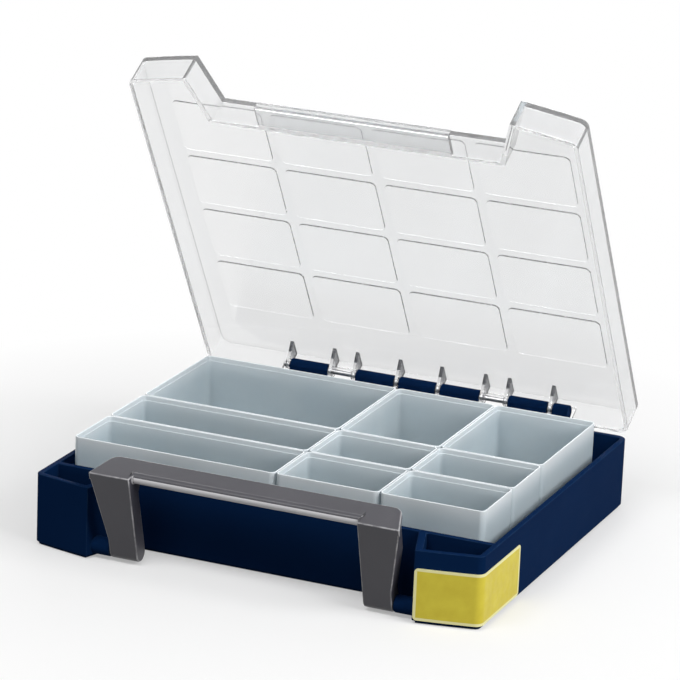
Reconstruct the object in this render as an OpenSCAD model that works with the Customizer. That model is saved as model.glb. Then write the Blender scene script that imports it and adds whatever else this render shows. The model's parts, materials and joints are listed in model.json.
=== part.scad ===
// Assortment case: a moulded tray with lift-out bins, a clear hinged lid
// and a swinging handle that latches the lid. Millimetres, +Z up, front towards -Y.
// The lid and the handle are drawn as they stand with the case open.

/* [Tray] */
// Height of the tray's rim
tray_h = 37.5; // [32:0.5:42]
// Thickness of the tray's walls
tray_wall = 3; // [2:0.25:4]
// Thickness of the tray's floor
floor_t = 2.5; // [2:0.25:4]
// Space left beside the bins, on each side
side_space = 6; // [4:0.5:12]
// Space left in front of the bins
front_space = 1; // [0.8:0.1:4]
// Space left behind the bins
back_space = 23; // [12:0.5:40]
// Radius of the bowed front, seen from above
front_r = 490; // [400:10:700]
// Radius of the upright back corners
back_corner_r = 6; // [4:0.5:10]
// Radius of the upright front corners
front_corner_r = 4; // [3.5:0.5:6]
// How far the foot ring under the tray stands in from the sides
foot_inset = 1.2; // [0.6:0.2:2]
// Height of the foot ring
foot_h = 1.5; // [1:0.25:2]
// Width of the cheek on each side of the handle
cheek_w = 35; // [30:0.5:40]
// Distance from the front corners back to the wall behind the handle
recess_d = 18; // [16:0.5:20]
// How much the handle recess narrows towards its back, on each side
recess_flare = 6; // [3:0.5:7]

/* [Bins] */
// Width of one grid cell
cell_w = 55.5; // [50:0.25:60]
// Depth of one grid cell
cell_d = 39; // [34:0.25:44]
// Gap between neighbouring bins
bin_gap = 0.5; // [0.4:0.1:1]
// Height of a bin
bin_h = 48.9; // [46:0.1:55]
// Thickness of a bin's walls and floor
bin_wall = 1.2; // [0.8:0.1:2]
// Radius of a bin's upright corners
bin_r = 3; // [2.5:0.25:6]
// Height of the thinned lip round a bin's mouth
bin_lip_h = 2.5; // [1:0.25:4]
// Depth of the step inside that lip
bin_lip_step = 0.4; // [0.2:0.1:0.5]
// Height of the ribs on the floor that keep the bins in place
locator_h = 6; // [3:0.5:10]
// Thickness of those ribs
locator_t = 1.5; // [1:0.25:2]
// Clearance between the bins and those ribs
bin_clear = 0.4; // [0.3:0.1:0.6]
// Clearance under a bin
seat_clear = 0.3; // [0.2:0.1:0.5]

/* [Lid] */
// Thickness of the lid's walls
lid_wall = 2.2; // [1.6:0.1:2.6]
// Clearance between the front row of cells and the lid's notch wall
notch_clear = 0.3; // [0.2:0.05:0.6]
// Thickness of the lid's top
lid_top_t = 2; // [1.5:0.1:3]
// How far the lid stands out past the tray
lid_overhang = 1; // [0.6:0.1:1.5]
// How far the lid reaches behind the hinge rod
lid_behind = 3; // [2.6:0.1:3.4]
// Clearance between the closed lid and the rim
lid_clear = 0.5; // [0.4:0.1:0.8]
// Clearance between the bins and the closed lid's pads
bin_headroom = 0.6; // [0.4:0.1:2]
// Thickness of the pads that close off the bins
pad_t = 0.7; // [0.4:0.1:1.5]
// Width of the channels between the pads
pad_channel = 5; // [3:0.5:10]
// Angle at which the lid stands open
lid_open = 59; // [0:0.5:105]
// Depth of the ledge that the handle holds down
ledge_d = 13; // [12:0.25:14]
// How far the ledge's ends stand in from the handle's legs
ledge_in = 8; // [4:0.5:16]
// Thickness of the ledge
ledge_t = 2.5; // [2:0.25:3]
// Thickness of the ledge's upturned lip
lip_t = 1.8; // [1.4:0.1:2]
// Height of the lip above the ledge's underside
lip_h = 4.8; // [4:0.1:5.5]

/* [Hinge] */
// Radius of the steel hinge rod
rod_r = 1.5; // [1:0.1:1.8]
// Radius of the barrels round the rod
barrel_r = 3.6; // [3:0.1:4]
// How far the rod lies behind the tray's back face
rod_back = 2.5; // [2.2:0.1:4]
// How far the rod lies below the inside of the lid's top
rod_drop = 8.5; // [7.5:0.1:10]
// How far the brackets of the tray's barrels reach below the rim
bracket_drop = 5; // [3:0.5:12]
// Thickness of the lid's hinge plates
plate_t = 2; // [1.5:0.25:3]
// Distance between the two inner hinge plates
centre_bay = 24; // [18:0.5:30]
// Distance from the inner to the second hinge plates
inner_bay = 25; // [18:0.5:30]
// Distance from the second to the third hinge plates
narrow_bay = 13.5; // [10:0.5:16]
// Distance from the third to the outer hinge plates
outer_bay = 25; // [18:0.5:30]
// Length of the bay that closes the right end of the rod
end_bay = 12; // [9:0.5:16]
// Gap beside each hinge plate
plate_gap = 0.5; // [0.4:0.1:0.8]
// Reach of the gussets inside the lid
gusset = 10; // [6:0.5:14]
// Radial clearance of the rod in the tray's barrels
rod_seat = 0.02; // [0.02:0.01:0.05]
// Radial clearance of the rod in the lid's plates
rod_run = 0.06; // [0.04:0.01:0.1]
// Clearance between the lid and the tray's barrels
barrel_clear = 0.5; // [0.4:0.1:1]
// Clearance under the lid's back wall, above its other walls
back_rise = 1; // [0.5:0.1:2]
// How far the rod stands out past the outer hinge plates
rod_out = 2; // [1:0.25:4]

/* [Handle] */
// Depth of the handle's top plate
handle_d = 18.2; // [17:0.1:20]
// Thickness of the legs, front to back
leg_t = 9; // [8:0.25:9]
// Width of a leg at its foot
leg_w = 15.5; // [14:0.5:24]
// Length of the boss between a leg and its cheek
boss_len = 9; // [6:0.25:10]
// Gap between the handle and the recess round it
handle_gap = 2.2; // [1.8:0.1:3]
// Gap between the latched handle and the lid behind it
handle_back_gap = 5.8; // [5:0.1:7]
// Gap between the latched handle's plate and the ledge's lip
latch_gap = 5.4; // [1:0.1:6]
// Height at which the legs start to spread
spread_z = 14; // [13:0.5:20]
// Thickness of the top plate
plate_h = 4; // [3:0.25:5]
// Radius of the plate's back corners, seen from above
plate_corner_r = 6; // [2:0.5:8]
// How far the bar stands back from the front of the legs
bar_back = 6; // [4:0.5:7]
// Radius of the bead along the bar's front edge
bead_r = 2.8; // [2:0.1:3]
// Height of the pivots above the ground
pivot_z = 6; // [5.5:0.25:7]
// Radius of the pivot pins
pivot_r = 2; // [1.5:0.1:2.5]
// Radius of the bosses round the pivots
boss_r = 4.5; // [4:0.1:5]
// Gap between a leg and its boss
boss_gap = 0.4; // [0.3:0.1:0.8]
// Length of a pin inside its leg
pin_in = 12; // [8:0.5:12.5]
// Radius of the pins' heads
head_r = 3.4; // [3:0.1:4]
// Thickness of the pins' heads
head_t = 1.5; // [1:0.25:2]
// Angle at which the handle leans outwards
lean = 15; // [0:0.5:75]
// Width of the catch under the plate's back edge
catch_t = 2.2; // [1.5:0.1:2.5]
// How far the catch stands in from the plate's back edge
catch_in = 1; // [0.6:0.1:1.4]
// Clearance of the catch over the ledge's lip
catch_clear = 0.3; // [0.3:0.05:0.5]
// Thickness of the webs under the plate
web_t = 2; // [1.5:0.25:3]

/* [Label] */
// Height of the corner label
label_h = 26.5; // [20:0.5:28]
// Height of its lower edge above the foot ring
label_up = 0.5; // [0.4:0.1:3]
// Length of the label along the side
label_side = 49; // [30:1:60]
// Thickness of the label
label_t = 0.35; // [0.2:0.05:0.5]
// How far the label starts from the cheek's inner edge
label_in = 1.5; // [1:0.1:6]

/* [Hidden] */
$fn = 64;
far = 400;
// How far a cut or a joined piece runs past the face that it meets
over = 1;
cols = 4;
rows = 4;
half_w = cols / 2 * cell_w + side_space + tray_wall;
case_d = recess_d + tray_wall + front_space + rows * cell_d + back_space + tray_wall;
y_back = case_d / 2;
y_corner = -case_d / 2;
arc_y = y_corner + sqrt(front_r * front_r - half_w * half_w);
recess_y = y_corner + recess_d;
recess_front = half_w - cheek_w;
recess_slope = recess_flare / recess_d;

grid_x = -cols / 2 * cell_w;
grid_y = recess_y + tray_wall + front_space;
bin_z = floor_t + seat_clear;
bin_top = bin_z + bin_h;

lid_z = tray_h + lid_clear;
lid_in = bin_top + bin_headroom + pad_t;
lid_top = lid_in + lid_top_t;
lid_front = grid_y - notch_clear - lid_wall;

rod_y = y_back + rod_back;
rod_z = lid_in - rod_drop;
lid_back = rod_y + lid_behind;
plate_x1 = centre_bay / 2;
plate_x2 = plate_x1 + inner_bay;
plate_x3 = plate_x2 + narrow_bay;
plate_x4 = plate_x3 + outer_bay;
rod_end = plate_x4 + plate_t / 2 + rod_out;
hinge_end = plate_x4 + end_bay;
plate_xs = [-plate_x4, -plate_x3, -plate_x2, -plate_x1, plate_x1, plate_x2, plate_x3, plate_x4];
// The bays that hold a barrel of the tray: the wide ones and the one past the last plate
bays = [[-plate_x4, -plate_x3], [-plate_x2, -plate_x1], [-plate_x1, plate_x1], [plate_x1, plate_x2],
    [plate_x3, plate_x4], [plate_x4, hinge_end]];
notch_z = rod_z + barrel_r + 2 * barrel_clear;

foot_half = recess_front - boss_len;
grip_half = foot_half - leg_w;
ledge_half = grip_half - ledge_in;
plate_back = lid_front - handle_back_gap;
handle_y = plate_back - handle_d;
pivot_y = handle_y + leg_t / 2;
handle_front = recess_front - handle_gap;
handle_back = handle_front - recess_flare;
lip_y = lid_front - ledge_d;
lip_top = lid_z + lip_h;
plate_z = lip_top + latch_gap;
handle_h = plate_z + plate_h;
catch_y = plate_back - catch_in;
// The catch clears the lip as it swings over it on its arc about the pivot
lip_reach = norm([lip_y + lip_t - pivot_y, lip_top - pivot_z]);
catch_z = pivot_z + sqrt(pow(lip_reach + catch_clear, 2) - pow(catch_y - catch_t - pivot_y, 2));
cheek_x = recess_front + recess_slope * (y_corner - pivot_y) + tray_wall;

tray_blue = "#14284b";
handle_grey = "#6b6b73";
bin_white = [0.85, 0.9, 0.95, 0.55];
lid_tint = [0.88, 0.89, 0.9, 0.35];

// Each bin: name, first column, first row, columns, rows, counted from the front left
BINS = [
    ["bin_rear_left", 0, 2, 2, 2],
    ["bin_rear_centre", 2, 2, 1, 2],
    ["bin_rear_right", 3, 2, 1, 2],
    ["bin_middle_left", 0, 1, 2, 1],
    ["bin_middle_centre", 2, 1, 1, 1],
    ["bin_middle_right", 3, 1, 1, 1],
    ["bin_front_left", 0, 0, 2, 1],
    ["bin_front_centre", 2, 0, 1, 1],
    ["bin_front_right", 3, 0, 1, 1]
];

// Rectangle with round corners, from its low corner
module round_rect(w, d, r) {
    translate([r, 0]) square([w - 2 * r, d]);
    translate([0, r]) square([w, d - 2 * r]);
    for (x = [r, w - r], y = [r, d - r]) translate([x, y]) circle(r);
}

// What is cut away to round one front corner of an outline grown by g
module front_corner_cut(g) {
    r = front_corner_r + g;
    x = half_w + g - r;
    y = arc_y - sqrt(pow(front_r + g - r, 2) - x * x);
    n = [x, y - arc_y] / norm([x, y - arc_y]);
    reach = 4 * front_corner_r;
    translate([x, y]) difference() {
        polygon([[0, 0], [reach, 0], [reach, -reach], reach * n]);
        circle(r);
    }
}

// The handle recess as an outline, narrowed by g, with its back at y
module recess(g, y) {
    back = recess_front - recess_flare - g;
    front = recess_front + recess_slope * far - g;
    polygon([[-back, y], [back, y], [front, y_corner - far], [-front, y_corner - far]]);
}

// Outline of the case from above, grown outwards by g, from the recess at y_front to the back face at y_rear
module outline(g, y_front, y_rear) {
    w = half_w + g;
    difference() {
        intersection() {
            translate([-w, -far]) round_rect(2 * w, far + y_rear, back_corner_r + g);
            translate([0, arc_y]) circle(front_r + g, $fn = 256);
        }
        front_corner_cut(g);
        mirror([1, 0]) front_corner_cut(g);
        recess(g, y_front);
    }
}

// The tray's outline, grown outwards by g
module tray_outline(g) {
    outline(g, recess_y - g, y_back + g);
}

// The hollow between the tray's walls: the space for the bins, and a pocket in each cheek
module tray_hollow() {
    difference() {
        tray_outline(-tray_wall);
        translate([-half_w, recess_y]) square([2 * half_w, tray_wall]);
    }
}

// Turns an outline in Y and Z into a plate from x0 to x1
module side_plate(x0, x1) {
    translate([x0, 0, 0]) rotate([90, 0, 90]) linear_extrude(x1 - x0) children();
}

// A cylinder along X, from x0 to x1
module rod(y, z, r, x0, x1) {
    translate([x0, y, z]) rotate([0, 90, 0]) cylinder(h = x1 - x0, r = r);
}

// A box from its low corner to its high corner
module box(low, high) {
    translate(low) cube(high - low);
}

// Repeats what follows on the left side
module both_sides() {
    children();
    mirror([1, 0, 0]) children();
}

// The lid's parts are drawn closed and swung up about the hinge rod
module swing_lid() {
    translate([0, rod_y, rod_z]) rotate([-lid_open, 0, 0]) translate([0, -rod_y, -rod_z]) children();
}

// The handle is drawn latched and leaned outwards about its pivots
module lean_handle() {
    translate([0, pivot_y, pivot_z]) rotate([lean, 0, 0]) translate([0, -pivot_y, -pivot_z]) children();
}

// The barrels of the hinge, on brackets that grow out of the tray's back wall
module tray_barrels() {
    inside = y_back - tray_wall / 2;
    for (bay = bays) {
        x0 = bay[0] + plate_t / 2 + plate_gap;
        x1 = bay[1] - plate_t / 2 - plate_gap;
        rod(rod_y, rod_z, barrel_r, x0, x1);
        side_plate(x0, x1) polygon([[inside, tray_h - bracket_drop], [y_back, tray_h - bracket_drop],
            [rod_y + barrel_r, rod_z], [rod_y - barrel_r, rod_z], [inside, tray_h]]);
    }
}

// Low ribs on the floor that frame the block of bins
module bin_locators() {
    x0 = grid_x + bin_gap / 2 - bin_clear;
    y0 = grid_y + bin_gap / 2 - bin_clear;
    y1 = grid_y + rows * cell_d - bin_gap / 2 + bin_clear;
    difference() {
        box([x0 - locator_t, y0 - locator_t, floor_t / 2],
            [-x0 + locator_t, y1 + locator_t, floor_t + locator_h]);
        box([x0, y0, 0], [-x0, y1, tray_h]);
    }
}

module base_tray() {
    slot = plate_t / 2 + plate_gap;
    slot_y = rod_y - barrel_r - barrel_clear;
    slot_z = min(rod_z - barrel_r - barrel_clear, tray_h);
    color(tray_blue) {
        difference() {
            union() {
                linear_extrude(tray_h) tray_outline(-foot_inset);
                translate([0, 0, foot_h]) linear_extrude(tray_h - foot_h) tray_outline(0);
                tray_barrels();
                both_sides() rod(pivot_y, pivot_z, boss_r, foot_half + boss_gap, cheek_x);
            }
            translate([0, 0, floor_t]) linear_extrude(tray_h) tray_hollow();
            for (x = plate_xs) box([x - slot, slot_y, slot_z], [x + slot, rod_y, tray_h + over]);
            rod(rod_y, rod_z, rod_r + rod_seat, -half_w, rod_end + plate_gap);
            both_sides() rod(pivot_y, pivot_z, pivot_r + rod_seat, grip_half, cheek_x + head_t);
            both_sides() rod(pivot_y, pivot_z, head_r + bin_clear, cheek_x, cheek_x + 2 * tray_wall);
        }
        bin_locators();
    }
}

// One hinge plate of the lid, with the gusset that stiffens the lid's back corner
module hinge_plate() {
    inner = lid_back - lid_wall;
    difference() {
        union() {
            translate([rod_y, rod_z]) circle(barrel_r);
            polygon([[rod_y - barrel_r, rod_z], [rod_y, rod_z], [inner + lid_wall / 2, notch_z],
                [inner + lid_wall / 2, lid_in], [inner - gusset, lid_in]]);
        }
        translate([rod_y, rod_z]) circle(rod_r + rod_run);
    }
}

module lid_pads() {
    for (c = [0 : cols - 1], r = [0 : rows - 1]) {
        x = grid_x + c * cell_w + pad_channel / 2;
        y = grid_y + r * cell_d + pad_channel / 2;
        translate([x, y, lid_in - pad_t])
            linear_extrude(2 * pad_t) round_rect(cell_w - pad_channel, cell_d - pad_channel, bin_r);
    }
}

// The ledge in the lid's notch, with the lip that the handle's catch drops behind
module lid_ledge() {
    box([-ledge_half, lip_y, lid_z], [ledge_half, lid_front + lid_wall / 2, lid_z + ledge_t]);
    box([-ledge_half, lip_y, lid_z], [ledge_half, lip_y + lip_t, lip_top]);
}

module lid() {
    color(lid_tint) swing_lid() {
        difference() {
            translate([0, 0, lid_z]) linear_extrude(lid_top - lid_z)
                outline(lid_overhang, lid_front, lid_back);
            translate([0, 0, lid_z - over]) linear_extrude(lid_in - lid_z + over)
                outline(lid_overhang - lid_wall, lid_front + lid_wall, lid_back - lid_wall);
            box([-far, y_back + barrel_clear, lid_z - over], [far, far, lid_z + back_rise]);
            box([-rod_end - barrel_clear, rod_y, lid_z - over], [hinge_end + barrel_clear, far, notch_z]);
        }
        lid_pads();
        lid_ledge();
        for (x = plate_xs) side_plate(x - plate_t / 2, x + plate_t / 2) hinge_plate();
    }
}

module hinge_rod() {
    color("silver") rod(rod_y, rod_z, rod_r, -rod_end, rod_end);
}

// Both legs seen from the front, straight at the feet and spreading towards the top
module handle_front_view() {
    for (s = [0, 1]) mirror([s, 0])
        polygon([[grip_half, pivot_z], [foot_half, pivot_z], [foot_half, spread_z], [handle_front, handle_h],
            [grip_half, handle_h]]);
}

// What is cut away to round the right back corner of the handle, seen from above
module plate_corner_cut() {
    r = plate_corner_r;
    back = [0, 1];
    side = [handle_d, recess_flare] / norm([handle_d, recess_flare]);
    // Half the angle between the two edges that meet there
    half = (180 - acos(back * side)) / 2;
    translate([handle_back - r / tan(half), plate_back - r]) difference() {
        polygon([[0, 0], 2 * r * back, 2 * r * (back + side), 2 * r * side]);
        circle(r);
    }
}

// The handle from above, narrowing towards the lid
module handle_plan() {
    difference() {
        polygon([[-handle_front, handle_y], [handle_front, handle_y],
            [handle_back, plate_back], [-handle_back, plate_back]]);
        plate_corner_cut();
        mirror([1, 0]) plate_corner_cut();
    }
}

// Webs that stiffen the corner between the legs and the plate
module handle_webs() {
    leg_back = handle_y + leg_t;
    web_back = plate_back - web_t;
    for (x = [grip_half, foot_half - 3 * web_t]) both_sides() side_plate(x, x + web_t)
        polygon([[leg_back - over, plate_z - leg_t], [leg_back, plate_z - leg_t], [web_back, plate_z],
            [web_back, plate_z + over], [leg_back - over, plate_z + over]]);
}

module handle() {
    color(handle_grey) lean_handle() difference() {
        union() {
            intersection() {
                translate([0, handle_y + leg_t, 0]) rotate([90, 0, 0])
                    linear_extrude(leg_t) handle_front_view();
                linear_extrude(handle_h) handle_plan();
            }
            both_sides() rod(pivot_y, pivot_z, leg_t / 2, grip_half, foot_half);
            translate([0, 0, plate_z]) linear_extrude(plate_h) difference() {
                handle_plan();
                translate([-grip_half, handle_y - over]) square([2 * grip_half, bar_back + over]);
            }
            rod(handle_y + bar_back, plate_z + bead_r / 2, bead_r, -grip_half - over, grip_half + over);
            box([-ledge_half, catch_y - catch_t, catch_z], [ledge_half, catch_y, plate_z + over]);
            handle_webs();
        }
        both_sides()
            rod(pivot_y, pivot_z, pivot_r + rod_run, foot_half - pin_in - boss_gap, foot_half + over);
    }
}

// A headed pin pushed through the cheek's wall into the handle's leg
module pivot_pin() {
    rod(pivot_y, pivot_z, pivot_r, foot_half - pin_in, cheek_x + head_t);
    rod(pivot_y, pivot_z, head_r, cheek_x, cheek_x + head_t);
}

module pivot_pin_left() {
    color("silver") mirror([1, 0, 0]) pivot_pin();
}

module pivot_pin_right() {
    color("silver") pivot_pin();
}

module corner_label() {
    color("gold") difference() {
        intersection() {
            translate([0, 0, foot_h + label_up]) linear_extrude(label_h) tray_outline(label_t);
            box([recess_front + label_in, -far, 0], [far, y_corner + label_side, tray_h]);
        }
        linear_extrude(tray_h) tray_outline(0);
    }
}

// One lift-out bin that fills the cells from column c, row r
module bin(c, r, nc, nr) {
    w = nc * cell_w - bin_gap;
    d = nr * cell_d - bin_gap;
    t = bin_wall;
    lip = bin_wall - bin_lip_step;
    color(bin_white) translate([grid_x + c * cell_w + bin_gap / 2, grid_y + r * cell_d + bin_gap / 2, bin_z])
        difference() {
            linear_extrude(bin_h) round_rect(w, d, bin_r);
            translate([t, t, t]) linear_extrude(bin_h) round_rect(w - 2 * t, d - 2 * t, bin_r - t);
            translate([lip, lip, bin_h - bin_lip_h])
                linear_extrude(bin_h) round_rect(w - 2 * lip, d - 2 * lip, bin_r - lip);
        }
}

base_tray();
lid();
hinge_rod();
handle();
pivot_pin_left();
pivot_pin_right();
corner_label();
for (b = BINS) bin(b[1], b[2], b[3], b[4]);
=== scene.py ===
import json
import math

import bmesh
import bpy
from mathutils import Matrix, Vector
from mathutils.bvhtree import BVHTree


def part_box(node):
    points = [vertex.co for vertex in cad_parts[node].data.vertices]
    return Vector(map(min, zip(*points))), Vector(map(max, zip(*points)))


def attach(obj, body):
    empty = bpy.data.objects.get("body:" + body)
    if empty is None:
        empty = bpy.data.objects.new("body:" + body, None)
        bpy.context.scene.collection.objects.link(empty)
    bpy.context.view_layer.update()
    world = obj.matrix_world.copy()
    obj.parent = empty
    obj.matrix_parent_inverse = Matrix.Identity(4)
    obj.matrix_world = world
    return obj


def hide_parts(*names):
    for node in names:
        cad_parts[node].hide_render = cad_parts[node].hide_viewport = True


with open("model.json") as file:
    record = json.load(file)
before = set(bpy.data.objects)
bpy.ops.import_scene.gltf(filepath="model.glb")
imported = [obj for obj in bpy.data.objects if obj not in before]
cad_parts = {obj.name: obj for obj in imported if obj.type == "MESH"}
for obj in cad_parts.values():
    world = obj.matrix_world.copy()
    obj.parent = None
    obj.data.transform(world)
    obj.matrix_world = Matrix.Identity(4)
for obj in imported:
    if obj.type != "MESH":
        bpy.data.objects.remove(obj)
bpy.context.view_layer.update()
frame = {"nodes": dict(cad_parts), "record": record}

# An open assortment case: a navy tray, nine frosted lift-out bins, a clear lid and a grey carrying handle.
# Lengths are in metres, +Z is up and the front faces -Y.

MM = 0.001
SCENE = bpy.context.scene


def joint(name):
    """A joint of the case, as the frame records it."""
    return next(j for j in frame["record"]["behaviour"]["joints"] if j["name"] == name)


def to_lower_limit(joint_name):
    """Carries a point from where it rests to where it is with the joint at its lower limit."""
    moving = joint(joint_name)
    pivot = Matrix.Translation(moving["pos_m"])
    turn = Matrix.Rotation(math.radians(moving["range_deg"][0]), 4, Vector(moving["axis"]))
    return pivot @ turn @ pivot.inverted()


# Wiring of node trees

class Wiring:
    """Adds nodes to one node tree; a value is a plain one or the output of another node."""

    def __init__(self, tree):
        self.nodes = tree.nodes
        self.link = tree.links.new

    def feed(self, node, inputs):
        """Gives values to inputs, found by name, by number, or by name and type where a name repeats."""
        for key, value in inputs.items():
            if isinstance(key, tuple):
                socket = next(s for s in node.inputs if (s.name, s.type) == key)
            else:
                socket = node.inputs[key]
            if isinstance(value, bpy.types.NodeSocket):
                self.link(value, socket)
            else:
                socket.default_value = value

    def add(self, kind, inputs=None, **settings):
        """A new node with its settings and inputs."""
        node = self.nodes.new(kind)
        for name, setting in settings.items():
            setattr(node, name, setting)
        self.feed(node, inputs or {})
        return node

    def work_out(self, operation, *values):
        """The result of one arithmetic step."""
        return self.add("ShaderNodeMath", dict(enumerate(values)), operation=operation).outputs["Value"]

    def axis(self, vector, name):
        """One of a vector's parts: X, Y or Z."""
        return self.add("ShaderNodeSeparateXYZ", {"Vector": vector}).outputs[name]

    def attribute(self, name):
        """A level stored on the mesh."""
        return self.add("ShaderNodeAttribute", attribute_name=name).outputs["Fac"]

    def place(self, stretch=(1, 1, 1)):
        """Where a point lies on the piece, stretched along the axes."""
        spot = self.add("ShaderNodeTexCoord").outputs["Object"]
        return self.add("ShaderNodeMapping", {"Vector": spot, "Scale": stretch}).outputs["Vector"]

    def noise(self, place, scale, detail, roughness=0.5):
        """Cloudy variation of about 1/scale metres."""
        inputs = {"Vector": place, "Scale": scale, "Detail": detail, "Roughness": roughness}
        return self.add("ShaderNodeTexNoise", inputs).outputs["Fac"]

    def spread(self, value, low, high, from_low=0.3, from_high=0.7):
        """Maps a variation onto the range from low to high."""
        inputs = {"Value": value, "From Min": from_low, "From Max": from_high,
                  "To Min": low, "To Max": high}
        return self.add("ShaderNodeMapRange", inputs).outputs["Result"]

    def blend(self, share, first, second):
        """Mixes two colours."""
        first, second = ((*c, 1) if isinstance(c, tuple) else c for c in (first, second))
        inputs = {"Factor": share, ("A", "RGBA"): first, ("B", "RGBA"): second}
        mix = self.add("ShaderNodeMix", inputs, data_type="RGBA")
        return next(s for s in mix.outputs if s.type == "RGBA")

    def blend_levels(self, share, first, second):
        """Mixes two levels."""
        return self.add("ShaderNodeMix", {"Factor": share, "A": first, "B": second}).outputs["Result"]

    def bump(self, height, strength, depth):
        """Shading as if the surface rose and fell with a variation."""
        inputs = {"Height": height, "Strength": strength, "Distance": depth}
        return self.add("ShaderNodeBump", inputs).outputs["Normal"]


# Finishes, their colours in linear light

NAVY = (0.0034, 0.0180, 0.066)
NAVY_SHADE = (0.0030, 0.0160, 0.060)
NAVY_WORN = (0.018, 0.042, 0.092)
GREY = (0.067, 0.065, 0.077)
GREY_SHADE = (0.057, 0.056, 0.067)
# Near white: painted highlight along the handle's eased edges and bead, together with wear
GREY_WEAR_AND_HIGHLIGHT = (0.82, 0.81, 0.83)
LID_TINT = (0.945, 0.948, 0.952)
LID_ETCHED = (0.985, 0.986, 0.988)
# Painted shade on the lid's hinge plates
LID_RIB_PAINTED_SHADE = (0.30, 0.305, 0.32)
BIN_SHADE = (0.60, 0.695, 0.745)
BIN_MILKY = (0.65, 0.735, 0.775)
# Painted light: the paler colour the bins' walls turn to at their rims
BIN_RIM_PAINTED_LIGHT = (0.81, 0.86, 0.89)
STEEL_DARK = (0.45, 0.45, 0.46)
STEEL_BRIGHT = (0.66, 0.66, 0.67)
LABEL_SHADE = (0.69, 0.565, 0.058)
LABEL_YELLOW = (0.77, 0.655, 0.072)
LABEL_PALE = (0.93, 0.89, 0.46)
PLASTIC_IOR = 1.45

# Heights above the rod: a hinge plate is clear below the first and painted dark above the second, a painted
# shade
RIB_CLEAR = 0.5 * MM
RIB_DARK = 5 * MM
# The height of the bins' rims, and how far below them the walls start to be painted paler as painted light
BIN_TOP_Z = 51.7 * MM
PALE_BAND = 12 * MM
# The label's border and the soft line where it meets the field
LABEL_BORDER = 1.5 * MM
BORDER_BLUR = 0.2 * MM


def new_finish(name):
    """A new material, the wiring of its node tree and its surface shader."""
    finish = bpy.data.materials.new(name)
    finish.use_nodes = True
    return finish, Wiring(finish.node_tree), finish.node_tree.nodes["Principled BSDF"]


def moulded_finish(name, colour, shade, worn_and_lit_colour, rough, polished, gloss, grain):
    """Grained moulded plastic, paler and smoother along its eased edges and the handle's bead; the pale
    colour is wear on the tray, and on the handle it is painted highlight as well as wear.
    """
    finish, wiring, shader = new_finish(name)
    place = wiring.place()
    clouds = wiring.spread(wiring.noise(place, scale=28, detail=4), low=0, high=1)
    flecks = wiring.noise(place, scale=160, detail=5, roughness=0.65)
    patches_of_wear_and_highlight = wiring.spread(flecks, low=0.2, high=0.8, from_low=0.4, from_high=0.66)
    edge_wear_and_highlight = wiring.work_out("MULTIPLY", wiring.attribute("edge_wear_and_highlight"), patches_of_wear_and_highlight)
    worn_and_lit_share = wiring.work_out("MAXIMUM", edge_wear_and_highlight, wiring.attribute("bead_highlight"))
    smears = wiring.noise(wiring.place(stretch=(1, 1, 2.5)), scale=60, detail=5, roughness=0.6)
    fine = wiring.noise(place, scale=grain, detail=2)
    wiring.feed(shader, {
        "Base Color": wiring.blend(worn_and_lit_share, wiring.blend(clouds, shade, colour), worn_and_lit_colour),
        "Roughness": wiring.blend_levels(worn_and_lit_share, wiring.spread(smears, *rough), polished),
        "Specular IOR Level": gloss,
        "Normal": wiring.bump(fine, strength=0.35, depth=0.06 * MM),
    })
    return finish


def clear_finish():
    """Clear polystyrene with faint flow lines and whiter etched pads; its hinge plates are painted dark
    above the rod, painted shade for the dark look of clear plastic seen edge-on.
    """
    finish, wiring, shader = new_finish("clear lid plastic")
    place = wiring.place()
    etched = wiring.attribute("etched")
    lid_up = to_lower_limit("lid_hinge").inverted().to_3x3() @ Vector((0, 0, 1))
    rod_level = lid_up.dot(Vector(joint("lid_hinge")["pos_m"]))
    up_lid = wiring.add("ShaderNodeVectorMath", {0: place, 1: lid_up}, operation="DOT_PRODUCT")
    above_rod = wiring.work_out("SUBTRACT", up_lid.outputs["Value"], rod_level)
    rib_shade_rise = wiring.spread(above_rod, low=0, high=1, from_low=RIB_CLEAR, from_high=RIB_DARK)
    rib_painted_shade = wiring.work_out("MULTIPLY", wiring.attribute("rib"), rib_shade_rise)
    marks = wiring.noise(wiring.place(stretch=(3, 1, 1)), scale=90, detail=6, roughness=0.7)
    bright = wiring.spread(marks, low=0.03, high=0.14, from_low=0.4, from_high=0.75)
    flow = wiring.noise(place, scale=22, detail=2)
    wiring.feed(shader, {
        "Base Color": wiring.blend(rib_painted_shade, wiring.blend(etched, LID_TINT, LID_ETCHED), LID_RIB_PAINTED_SHADE),
        "Transmission Weight": 0.91,
        "IOR": PLASTIC_IOR,
        "Roughness": wiring.blend_levels(etched, bright, 0.24),
        "Normal": wiring.bump(flow, strength=0.25, depth=0.4 * MM),
    })
    return finish


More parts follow.
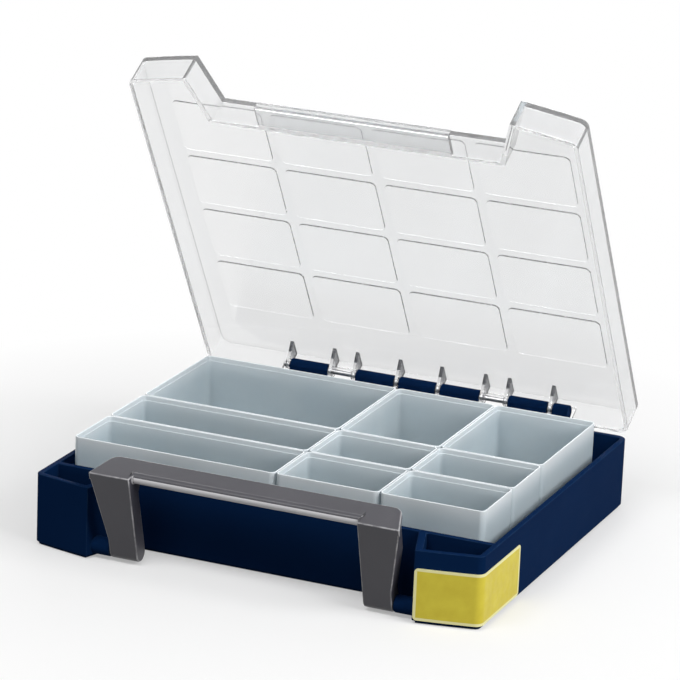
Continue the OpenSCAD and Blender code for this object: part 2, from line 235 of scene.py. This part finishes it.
def frosted_finish():
    """Milky polypropylene that lets some light through its walls; towards the rims the walls are painted
    paler, as painted light, and let less light through.
    """
    finish, wiring, shader = new_finish("frosted bin plastic")
    place = wiring.place()
    clouds = wiring.spread(wiring.noise(place, scale=45, detail=4), low=0, high=1)
    height = wiring.axis(place, "Z")
    upwards = wiring.spread(height, low=0, high=1, from_low=BIN_TOP_Z - PALE_BAND, from_high=BIN_TOP_Z)
    painted_rim_light = wiring.work_out("MULTIPLY", upwards, upwards)
    marks = wiring.noise(wiring.place(stretch=(1, 1, 0.3)), scale=140, detail=5, roughness=0.65)
    fine = wiring.noise(place, scale=900, detail=2)
    wiring.feed(shader, {
        "Base Color": wiring.blend(painted_rim_light, wiring.blend(clouds, BIN_SHADE, BIN_MILKY), BIN_RIM_PAINTED_LIGHT),
        "Transmission Weight": wiring.spread(painted_rim_light, low=0.30, high=0.08, from_low=0, from_high=1),
        "IOR": PLASTIC_IOR,
        "Specular IOR Level": 0.5,
        "Roughness": wiring.spread(marks, low=0.30, high=0.36),
        "Normal": wiring.bump(fine, strength=0.2, depth=0.05 * MM),
    })
    return finish


def steel_finish():
    """Drawn steel, its fine lines along X."""
    finish, wiring, shader = new_finish("drawn steel")
    lines = wiring.noise(wiring.place(stretch=(1, 40, 40)), scale=60, detail=4)
    wiring.feed(shader, {
        "Base Color": wiring.blend(wiring.spread(lines, low=0, high=1), STEEL_DARK, STEEL_BRIGHT),
        "Metallic": 1,
        "Roughness": wiring.spread(lines, low=0.22, high=0.4),
        "Normal": wiring.bump(lines, strength=0.15, depth=0.03 * MM),
    })
    return finish


def label_finish(length, height):
    """Yellow film with a paler border; the film's own map runs along it in metres."""
    finish, wiring, shader = new_finish("yellow label film")
    along = wiring.add("ShaderNodeUVMap", uv_map="along_film").outputs["UV"]
    edges = []
    for axis, size in (("X", length), ("Y", height)):
        away = wiring.work_out("ABSOLUTE", wiring.work_out("SUBTRACT", wiring.axis(along, axis), size / 2))
        inside = size / 2 - LABEL_BORDER
        edges.append(wiring.spread(away, low=0, high=1, from_low=inside, from_high=inside + BORDER_BLUR))
    border = wiring.work_out("MAXIMUM", *edges)
    place = wiring.place()
    clouds = wiring.spread(wiring.noise(place, scale=120, detail=5), low=0, high=1)
    wear = wiring.noise(place, scale=300, detail=4)
    ripple = wiring.noise(place, scale=220, detail=3)
    wiring.feed(shader, {
        "Base Color": wiring.blend(border, wiring.blend(clouds, LABEL_SHADE, LABEL_YELLOW), LABEL_PALE),
        "Roughness": wiring.spread(wear, low=0.3, high=0.5),
        "Specular IOR Level": 0.15,
        "Normal": wiring.bump(ripple, strength=0.1, depth=0.1 * MM),
    })
    return finish


navy = moulded_finish("navy tray plastic", colour=NAVY, shade=NAVY_SHADE, worn_and_lit_colour=NAVY_WORN,
                      rough=(0.40, 0.46), polished=0.3, gloss=0.002, grain=2400)
grey = moulded_finish("satin grey handle plastic", colour=GREY, shade=GREY_SHADE, worn_and_lit_colour=GREY_WEAR_AND_HIGHLIGHT,
                      rough=(0.28, 0.38), polished=0.16, gloss=0.45, grain=2000)
clear = clear_finish()
frosted = frosted_finish()
steel = steel_finish()


# Mouldings: the tray, the lid, the handle and the steel pins

# Points this close are one point, faces this nearly level are one face, and sharper edges are eased
WELD = 0.002 * MM
FLAT = math.radians(0.4)
SHARP = math.radians(28)
EASE_STEPS = 2
FACE_WEIGHT = 60

# The bead along the handle's bar, with the handle latched
BEAD_Y = -100.5 * MM
BEAD_Z = 49.6 * MM
BEAD_RADIUS = 2.8 * MM
# The bead's lower front faces are painted pale as a painted highlight: the most their normals may rise, and
# the share of the pale colour
BEAD_HIGHLIGHT_TILT = 0.35
BEAD_HIGHLIGHT_SHARE = 0.9
# The pads and the hinge plates of the lid, with the lid shut
PAD_FACE_Z = 52.3 * MM
RIB_PLACES = [side * x * MM for side in (-1, 1) for x in (12, 37, 50.5, 75.5)]
RIB_HALF = 1.05 * MM
RIB_LOW_Y = 94 * MM
RIB_HIGH_Y = 106 * MM
RIB_TOP_Z = 52.9 * MM
# A point this close to a surface lies on it
NEAR = 0.08 * MM


def show(name, mesh, body, node, finish):
    """Puts a finished mesh on the case in place of its solid."""
    mesh.materials.clear()
    mesh.materials.append(finish)
    piece = bpy.data.objects.new(name, mesh)
    SCENE.collection.objects.link(piece)
    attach(piece, body)
    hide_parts(node)


def evaluated_mesh(holder):
    """The mesh that an object's modifiers make; the object itself is done with."""
    mesh = bpy.data.meshes.new_from_object(holder.evaluated_get(bpy.context.evaluated_depsgraph_get()))
    bpy.data.objects.remove(holder)
    return mesh


def with_even_shading(name, mesh):
    """Smooth shading that keeps the large flat faces flat."""
    mesh.shade_smooth()
    holder = bpy.data.objects.new(name, mesh)
    SCENE.collection.objects.link(holder)
    even = holder.modifiers.new("even shading", "WEIGHTED_NORMAL")
    even.keep_sharp = True
    even.weight = FACE_WEIGHT
    made = evaluated_mesh(holder)
    made.name = name
    return made


def rounded_moulding(node, radius):
    """The solid's own shape with every moulded edge eased to a small radius."""
    shape = bmesh.new()
    shape.from_mesh(frame["nodes"][node].data)
    bmesh.ops.remove_doubles(shape, verts=shape.verts, dist=WELD)
    solid = BVHTree.FromBMesh(shape)
    bmesh.ops.dissolve_limit(shape, angle_limit=FLAT, verts=shape.verts, edges=shape.edges)
    bmesh.ops.connect_verts_concave(shape, faces=shape.faces)
    edges = [e for e in shape.edges if len(e.link_faces) == 2 and e.calc_face_angle(0) > SHARP]
    made = bmesh.ops.bevel(shape, geom=edges, offset=radius * math.sqrt(2), offset_type="WIDTH",
                           segments=EASE_STEPS, profile=0.5, affect="EDGES", clamp_overlap=False)
    eased = set(made["faces"])
    # Eased edges are marked for a paler colour: wear on the tray, painted highlight and wear on the handle
    edge_wear_and_highlight = shape.verts.layers.float.new("edge_wear_and_highlight")
    for v in shape.verts:
        v[edge_wear_and_highlight] = 1.0 if v.link_faces and all(f in eased for f in v.link_faces) else 0.0
        nearest, _, _, away = solid.find_nearest(v.co)
        if away > radius / 2:
            v.co = nearest
    mesh = bpy.data.meshes.new(node)
    shape.to_mesh(mesh)
    shape.free()
    return with_even_shading(node, mesh)


def with_painted_bead_highlight(mesh):
    """The lower front of the bead along the handle's bar is painted pale, a painted highlight."""
    to_latched = to_lower_limit("handle_pivot")
    on_bead = []
    for v in mesh.vertices:
        place = to_latched @ v.co
        on_bead.append(abs(math.hypot(place.y - BEAD_Y, place.z - BEAD_Z) - BEAD_RADIUS) < NEAR)
    bead_highlight = mesh.attributes.new("bead_highlight", "FLOAT", "FACE").data
    for face in mesh.polygons:
        highlit = face.normal.z < BEAD_HIGHLIGHT_TILT and all(on_bead[i] for i in face.vertices)
        bead_highlight[face.index].value = BEAD_HIGHLIGHT_SHARE if highlit else 0.0
    return mesh


def on_rib(place):
    """Whether a place on the shut lid lies on one of its hinge plates."""
    beside = min(abs(place.x - x) for x in RIB_PLACES)
    return beside < RIB_HALF and RIB_LOW_Y < place.y < RIB_HIGH_Y and place.z < RIB_TOP_Z


def with_lid_marks(mesh):
    """The pads over the bins are etched, and the hinge plates are told apart from the lid's thin walls so
    that they can be painted dark as painted shade.
    """
    to_shut = to_lower_limit("lid_hinge")
    etched = mesh.attributes.new("etched", "FLOAT", "POINT").data
    for v in mesh.vertices:
        etched[v.index].value = 1.0 if abs((to_shut @ v.co).z - PAD_FACE_Z) < NEAR else 0.0
    rib = mesh.attributes.new("rib", "FLOAT", "FACE").data
    for face in mesh.polygons:
        rib[face.index].value = 1.0 if on_rib(to_shut @ face.center) else 0.0
    return mesh


tray_mesh = rounded_moulding("base_tray", radius=0.45 * MM)
lid_mesh = with_lid_marks(rounded_moulding("lid", radius=0.3 * MM))
handle_mesh = with_painted_bead_highlight(rounded_moulding("handle", radius=0.8 * MM))
show("tray_moulding", tray_mesh, "tray", "base_tray", navy)
show("lid_moulding", lid_mesh, "lid", "lid", clear)
show("handle_moulding", handle_mesh, "handle", "handle", grey)
for rod, radius in (("hinge_rod", 0.3), ("pivot_pin_left", 0.25), ("pivot_pin_right", 0.25)):
    show(rod + "_steel", rounded_moulding(rod, radius * MM), "tray", rod, steel)


# Lift-out bins: one wall section carried round each bin's outline

BIN_WALL = 1.2 * MM
BIN_LIP = 0.8 * MM
BIN_LIP_HEIGHT = 2.5 * MM
BIN_FOOT_RADIUS = 0.9 * MM
BIN_INNER_RADIUS = 1.5 * MM
BIN_CORNER = 3 * MM
CORNER_STEPS = 7
RIM_RADIUS = 0.3 * MM
STEP_FILLET = 0.15 * MM
STEP_BEVEL = 0.1 * MM
ARC_STEPS = 5
SEAM = 0.02 * MM


def arc(centre, radius, start, end):
    """Points of an arc in the section's plane, angles in degrees."""
    angles = [math.radians(start + (end - start) * i / ARC_STEPS) for i in range(ARC_STEPS + 1)]
    return [(centre[0] + radius * math.cos(a), centre[1] + radius * math.sin(a)) for a in angles]


def bin_section(height):
    """From under the foot, up the outside, over the rim and down to the floor: (inset, height) pairs."""
    step_z = height - BIN_LIP_HEIGHT
    inner = BIN_WALL + BIN_INNER_RADIUS
    return [
        *arc((BIN_FOOT_RADIUS, BIN_FOOT_RADIUS), BIN_FOOT_RADIUS, 270, 180),
        *arc((RIM_RADIUS, height - RIM_RADIUS), RIM_RADIUS, 180, 90),
        *arc((BIN_LIP - RIM_RADIUS, height - RIM_RADIUS), RIM_RADIUS, 90, 0),
        (BIN_LIP, step_z + STEP_FILLET),
        (BIN_LIP + STEP_FILLET, step_z),
        (BIN_WALL - STEP_BEVEL, step_z),
        (BIN_WALL, step_z - STEP_BEVEL),
        *arc((inner, inner), BIN_INNER_RADIUS, 180, 270),
    ]


def section_curve(points):
    """The section as a curve that Curve to Mesh carries round with its inside towards the bin."""
    curve = bpy.data.curves.new("bin wall section", "CURVE")
    curve.dimensions = "3D"
    line = curve.splines.new("POLY")
    line.points.add(len(points) - 1)
    for point, (inset, height) in zip(line.points, points):
        point.co = (-inset, -height, 0, 1)
    return bpy.data.objects.new("bin wall section", curve)


def bin_wall(wiring, given):
    """The wall section carried round the bin's outline."""
    outline = wiring.add("GeometryNodeCurvePrimitiveQuadrilateral",
                         {"Width": given["Width"], "Height": given["Depth"]})
    corners = wiring.add("GeometryNodeFilletCurve",
                         {"Curve": outline.outputs["Curve"], "Radius": given["Corner Radius"],
                          "Count": CORNER_STEPS}, mode="POLY")
    upright = wiring.add("GeometryNodeSetCurveNormal", {"Curve": corners.outputs["Curve"]}, mode="Z_UP")
    section = wiring.add("GeometryNodeObjectInfo", {"Object": given["Wall Section"]})
    wall = wiring.add("GeometryNodeCurveToMesh",
                      {"Curve": upright.outputs["Curve"], "Profile Curve": section.outputs["Geometry"]})
    return wall.outputs["Mesh"]


def bin_plate(wiring, wall, floor, side):
    """A plate at height 0 that fills the wall's open loop on one side of half the floor's thickness."""
    faces = wiring.add("GeometryNodeInputMeshEdgeNeighbors").outputs["Face Count"]
    open_edge = wiring.add("FunctionNodeCompare", {("A", "INT"): faces, ("B", "INT"): 1},
                           data_type="INT", operation="EQUAL")
    height = wiring.axis(wiring.add("GeometryNodeInputPosition").outputs["Position"], "Z")
    half = wiring.work_out("MULTIPLY", floor, 0.5)
    level = wiring.add("FunctionNodeCompare", {("A", "VALUE"): height, ("B", "VALUE"): half},
                       data_type="FLOAT", operation=side)
    both = wiring.add("FunctionNodeBooleanMath",
                      {0: open_edge.outputs["Result"], 1: level.outputs["Result"]}, operation="AND")
    loop = wiring.add("GeometryNodeMeshToCurve", {"Mesh": wall, "Selection": both.outputs["Boolean"]})
    plate = wiring.add("GeometryNodeFillCurve", {"Curve": loop.outputs["Curve"]}, mode="NGONS")
    return plate.outputs["Mesh"]


def bin_tree():
    """Geometry Nodes for one bin: the wall, closed by a floor and an underside."""
    tree = bpy.data.node_groups.new("Lift-out bin", "GeometryNodeTree")
    tree.interface.new_socket("Geometry", in_out="OUTPUT", socket_type="NodeSocketGeometry")
    for name, kind in (("Width", "Float"), ("Depth", "Float"), ("Corner Radius", "Float"),
                       ("Floor", "Float"), ("Wall Section", "Object"), ("Finish", "Material")):
        tree.interface.new_socket(name, in_out="INPUT", socket_type="NodeSocket" + kind)
    wiring = Wiring(tree)
    given = wiring.add("NodeGroupInput").outputs
    wall = bin_wall(wiring, given)
    underside = bin_plate(wiring, wall, given["Floor"], "LESS_THAN")
    floor = bin_plate(wiring, wall, given["Floor"], "GREATER_THAN")
    turned = wiring.add("GeometryNodeFlipFaces", {"Mesh": floor}).outputs["Mesh"]
    lift = wiring.add("ShaderNodeCombineXYZ", {"Z": given["Floor"]}).outputs["Vector"]
    raised = wiring.add("GeometryNodeSetPosition", {"Geometry": turned, "Offset": lift})
    joined = wiring.add("GeometryNodeJoinGeometry")
    for shell in (wall, underside, raised.outputs["Geometry"]):
        wiring.link(shell, joined.inputs["Geometry"])
    closed = wiring.add("GeometryNodeMergeByDistance",
                        {"Geometry": joined.outputs["Geometry"], "Distance": SEAM})
    outwards = wiring.add("GeometryNodeFlipFaces", {"Mesh": closed.outputs["Geometry"]})
    real = wiring.add("GeometryNodeRealizeInstances", {"Geometry": outwards.outputs["Mesh"]})
    painted = wiring.add("GeometryNodeSetMaterial",
                         {"Geometry": real.outputs["Geometry"], "Material": given["Finish"]})
    wiring.add("NodeGroupOutput", {"Geometry": painted.outputs["Geometry"]})
    return tree


def bake(tree, values):
    """The tree's result as a plain mesh; values are given by input name."""
    holder = bpy.data.objects.new("bin blank", bpy.data.meshes.new("bin blank"))
    SCENE.collection.objects.link(holder)
    making = holder.modifiers.new("making", "NODES")
    making.node_group = tree
    for item in tree.interface.items_tree:
        if item.item_type == "SOCKET" and item.in_out == "INPUT":
            making[item.identifier] = values[item.name]
    return evaluated_mesh(holder)


lift_out_bin = bin_tree()
for node in [n for n in frame["nodes"] if n.startswith("bin_")]:
    low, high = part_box(node)
    section = section_curve(bin_section(high.z - low.z))
    mesh = bake(lift_out_bin, {
        "Width": high.x - low.x,
        "Depth": high.y - low.y,
        "Corner Radius": BIN_CORNER,
        "Floor": BIN_WALL,
        "Wall Section": section,
        "Finish": frosted,
    })
    bpy.data.objects.remove(section)
    mesh.transform(Matrix.Translation(((low.x + high.x) / 2, (low.y + high.y) / 2, low.z)))
    name = node.removeprefix("bin_") + "_bin"
    show(name, with_even_shading(node, mesh), node, node, frosted)


# Corner label: a film wrapped round the tray's right front corner

FRONT_RADIUS = 490 * MM
FRONT_CORNER = (120 * MM, -102 * MM)
CORNER_RADIUS = 4 * MM
FRONT_CENTRE_Y = FRONT_CORNER[1] + math.sqrt(FRONT_RADIUS ** 2 - FRONT_CORNER[0] ** 2)
CORNER_X = FRONT_CORNER[0] - CORNER_RADIUS
CORNER_Y = FRONT_CENTRE_Y - math.sqrt((FRONT_RADIUS - CORNER_RADIUS) ** 2 - CORNER_X ** 2)
CORNER_TURN = math.asin(CORNER_X / (FRONT_RADIUS - CORNER_RADIUS))
# The label starts just past the cheek's inner edge
LABEL_START_X = 87.7 * MM
LABEL_ROUND = 2 * MM
LABEL_LIFT = 0.02 * MM
LABEL_THICK = 0.33 * MM
LABEL_STEPS = 72
LABEL_ROUND_STEP = 15
LABEL_SHARP = math.radians(40)


def front_outline(distance, start_turn):
    """A point on the tray's outline and the way it faces, a distance along from the start on the front."""
    front = FRONT_RADIUS * (CORNER_TURN - start_turn)
    bend = CORNER_RADIUS * (math.pi / 2 - CORNER_TURN)
    if distance < front:
        turn = start_turn + distance / FRONT_RADIUS
        facing = Vector((math.sin(turn), -math.cos(turn), 0))
        return Vector((0, FRONT_CENTRE_Y, 0)) + facing * FRONT_RADIUS, facing
    turn = min(CORNER_TURN + (distance - front) / CORNER_RADIUS, math.pi / 2)
    facing = Vector((math.sin(turn), -math.cos(turn), 0))
    along_side = max(distance - front - bend, 0)
    return Vector((CORNER_X, CORNER_Y + along_side, 0)) + facing * CORNER_RADIUS, facing


def film_stations(length):
    """Distances along the film, closer together where its corners are rounded."""
    rounding = [LABEL_ROUND * (1 - math.cos(math.radians(a))) for a in range(0, 90, LABEL_ROUND_STEP)]
    straight = length - 2 * LABEL_ROUND
    between = [LABEL_ROUND + straight * i / LABEL_STEPS for i in range(LABEL_STEPS + 1)]
    return [*rounding, *between, *(length - r for r in reversed(rounding))]


def label_film(low, high):
    """The film between the label's ends and heights, its corners rounded and its map in metres along it."""
    start_turn = math.asin(LABEL_START_X / FRONT_RADIUS)
    length = (FRONT_RADIUS * (CORNER_TURN - start_turn) + CORNER_RADIUS * (math.pi / 2 - CORNER_TURN)
              + high.y - CORNER_Y)
    shape = bmesh.new()
    film_map = shape.loops.layers.uv.new("along_film")
    spot = {}
    rings = []
    for distance in film_stations(length):
        point, facing = front_outline(distance, start_turn)
        to_round = LABEL_ROUND - min(distance, length - distance, LABEL_ROUND)
        cut = LABEL_ROUND - math.sqrt(max(LABEL_ROUND ** 2 - to_round ** 2, 0))
        ring = []
        for out, z in ((LABEL_LIFT, low.z + cut), (LABEL_THICK, low.z + cut),
                       (LABEL_THICK, high.z - cut), (LABEL_LIFT, high.z - cut)):
            vert = shape.verts.new(point + facing * out + Vector((0, 0, z)))
            spot[vert] = (distance, z - low.z)
            ring.append(vert)
        rings.append(ring)
    for ring, after in zip(rings, rings[1:]):
        for i, vert in enumerate(ring):
            following = (i + 1) % len(ring)
            shape.faces.new((vert, after[i], after[following], ring[following]))
    shape.faces.new(rings[0])
    shape.faces.new(reversed(rings[-1]))
    bmesh.ops.recalc_face_normals(shape, faces=shape.faces)
    for face in shape.faces:
        for corner in face.loops:
            corner[film_map].uv = spot[corner.vert]
    for edge in shape.edges:
        edge.smooth = edge.calc_face_angle(0) < LABEL_SHARP
    mesh = bpy.data.meshes.new("corner_label")
    shape.to_mesh(mesh)
    shape.free()
    return with_even_shading("corner_label", mesh), length


label_low, label_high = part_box("corner_label")
film, film_length = label_film(label_low, label_high)
label_yellow = label_finish(film_length, label_high.z - label_low.z)
show("corner_label_film", film, "tray", "corner_label", label_yellow)


# Floor, light and camera

# The surroundings as they are seen, and the light that they shed on the case
WHITE = 1.0
AMBIENT = 0.18
FLOOR_TONE = 0.9
FLOOR_RADIUS = 4
FLOOR_SIDES = 64
# The floor's share of plain white under the case, and between which distances it grows to all
FLOOR_WHITE_SHARE = 0.35
FADE_START = 0.13
FADE_END = 0.34
# Where the lamps are aimed
LIT_SPOT = Vector((0, 0, 0.08))
SENSOR_WIDTH = 36


def seen_or_lit(wiring, seen, lit):
    """One level for what the eye, reflections and clear plastic see, another for the light it sends out."""
    ray = wiring.add("ShaderNodeLightPath").outputs
    mirrored = wiring.work_out("MAXIMUM", ray["Is Camera Ray"], ray["Is Glossy Ray"])
    share = wiring.work_out("MAXIMUM", mirrored, ray["Is Transmission Ray"])
    return wiring.spread(share, low=lit, high=seen, from_low=0, from_high=1)


def floor_finish():
    """Pale and matt by the case, fading to plain white away from it."""
    finish, wiring, shader = new_finish("pale floor")
    wiring.feed(shader, {
        "Base Color": seen_or_lit(wiring, FLOOR_TONE, AMBIENT),
        "Roughness": 0.9,
        "Specular IOR Level": 0.0,
    })
    white = wiring.add("ShaderNodeEmission", {"Strength": seen_or_lit(wiring, WHITE, AMBIENT)})
    place = wiring.add("ShaderNodeTexCoord").outputs["Object"]
    away = wiring.add("ShaderNodeVectorMath", {0: place}, operation="LENGTH").outputs["Value"]
    share = wiring.spread(away, low=FLOOR_WHITE_SHARE, high=1, from_low=FADE_START, from_high=FADE_END)
    mix = wiring.add("ShaderNodeMixShader",
                     {"Fac": share, 1: shader.outputs["BSDF"], 2: white.outputs["Emission"]})
    wiring.feed(finish.node_tree.nodes["Material Output"], {"Surface": mix.outputs["Shader"]})
    return finish


def pale_floor():
    """A broad floor that keeps the case's shadow."""
    mesh = bpy.data.meshes.new("floor")
    shape = bmesh.new()
    bmesh.ops.create_circle(shape, cap_ends=True, radius=FLOOR_RADIUS, segments=FLOOR_SIDES)
    shape.to_mesh(mesh)
    shape.free()
    mesh.materials.append(floor_finish())
    floor = bpy.data.objects.new("floor", mesh)
    SCENE.collection.objects.link(floor)


def white_surroundings():
    """White to the eye and in reflections; a softer level for what it lights."""
    world = bpy.data.worlds.new("white surroundings")
    SCENE.world = world
    world.use_nodes = True
    wiring = Wiring(world.node_tree)
    wiring.feed(world.node_tree.nodes["Background"], {
        "Color": (1, 1, 1, 1),
        "Strength": seen_or_lit(wiring, WHITE, AMBIENT),
    })


def softbox(name, place, width, height, power):
    """A large soft lamp aimed at the case."""
    lamp = bpy.data.lights.new(name, "AREA")
    lamp.shape = "RECTANGLE"
    lamp.size = width
    lamp.size_y = height
    lamp.energy = power
    holder = bpy.data.objects.new(name, lamp)
    holder.location = place
    holder.rotation_euler = (LIT_SPOT - Vector(place)).to_track_quat("-Z", "Y").to_euler()
    holder.visible_camera = False
    SCENE.collection.objects.link(holder)


def aim_camera(azimuth, elevation, roll, distance, across, up_by, lens):
    """Looks from the front right, a little from above; angles in degrees, lens in millimetres."""
    turn, rise, lean = (math.radians(angle) for angle in (azimuth, elevation, roll))
    right = Vector((math.cos(turn), math.sin(turn), 0))
    back = Vector((math.sin(turn) * math.cos(rise), -math.cos(turn) * math.cos(rise), math.sin(rise)))
    up = back.cross(right)
    turned_right = right * math.cos(lean) + up * math.sin(lean)
    turned_up = up * math.cos(lean) - right * math.sin(lean)
    camera = bpy.data.cameras.new("camera")
    camera.lens = lens
    camera.sensor_width = SENSOR_WIDTH
    holder = bpy.data.objects.new("camera", camera)
    place = turned_right * across + turned_up * up_by + back * distance
    axes = Matrix((turned_right, turned_up, back)).transposed()
    holder.matrix_world = Matrix.Translation(place) @ axes.to_4x4()
    SCENE.collection.objects.link(holder)
    SCENE.camera = holder


pale_floor()
white_surroundings()
softbox("right softbox", place=(1.25, -0.25, 0.85), width=1.0, height=0.8, power=19)
softbox("front softbox", place=(-0.2, -0.85, 1.4), width=0.9, height=0.4, power=10)
softbox("low front strip", place=(-0.35, -1.5, 0.26), width=1.2, height=0.15, power=1.2)
softbox("back strip", place=(-0.55, 1.4, 0.45), width=1.0, height=0.4, power=6)
aim_camera(azimuth=23.02, elevation=17.343, roll=2.351, distance=1.9403,
           across=0.0020, up_by=0.0940, lens=200.57)
SCENE.view_settings.view_transform = "Standard"
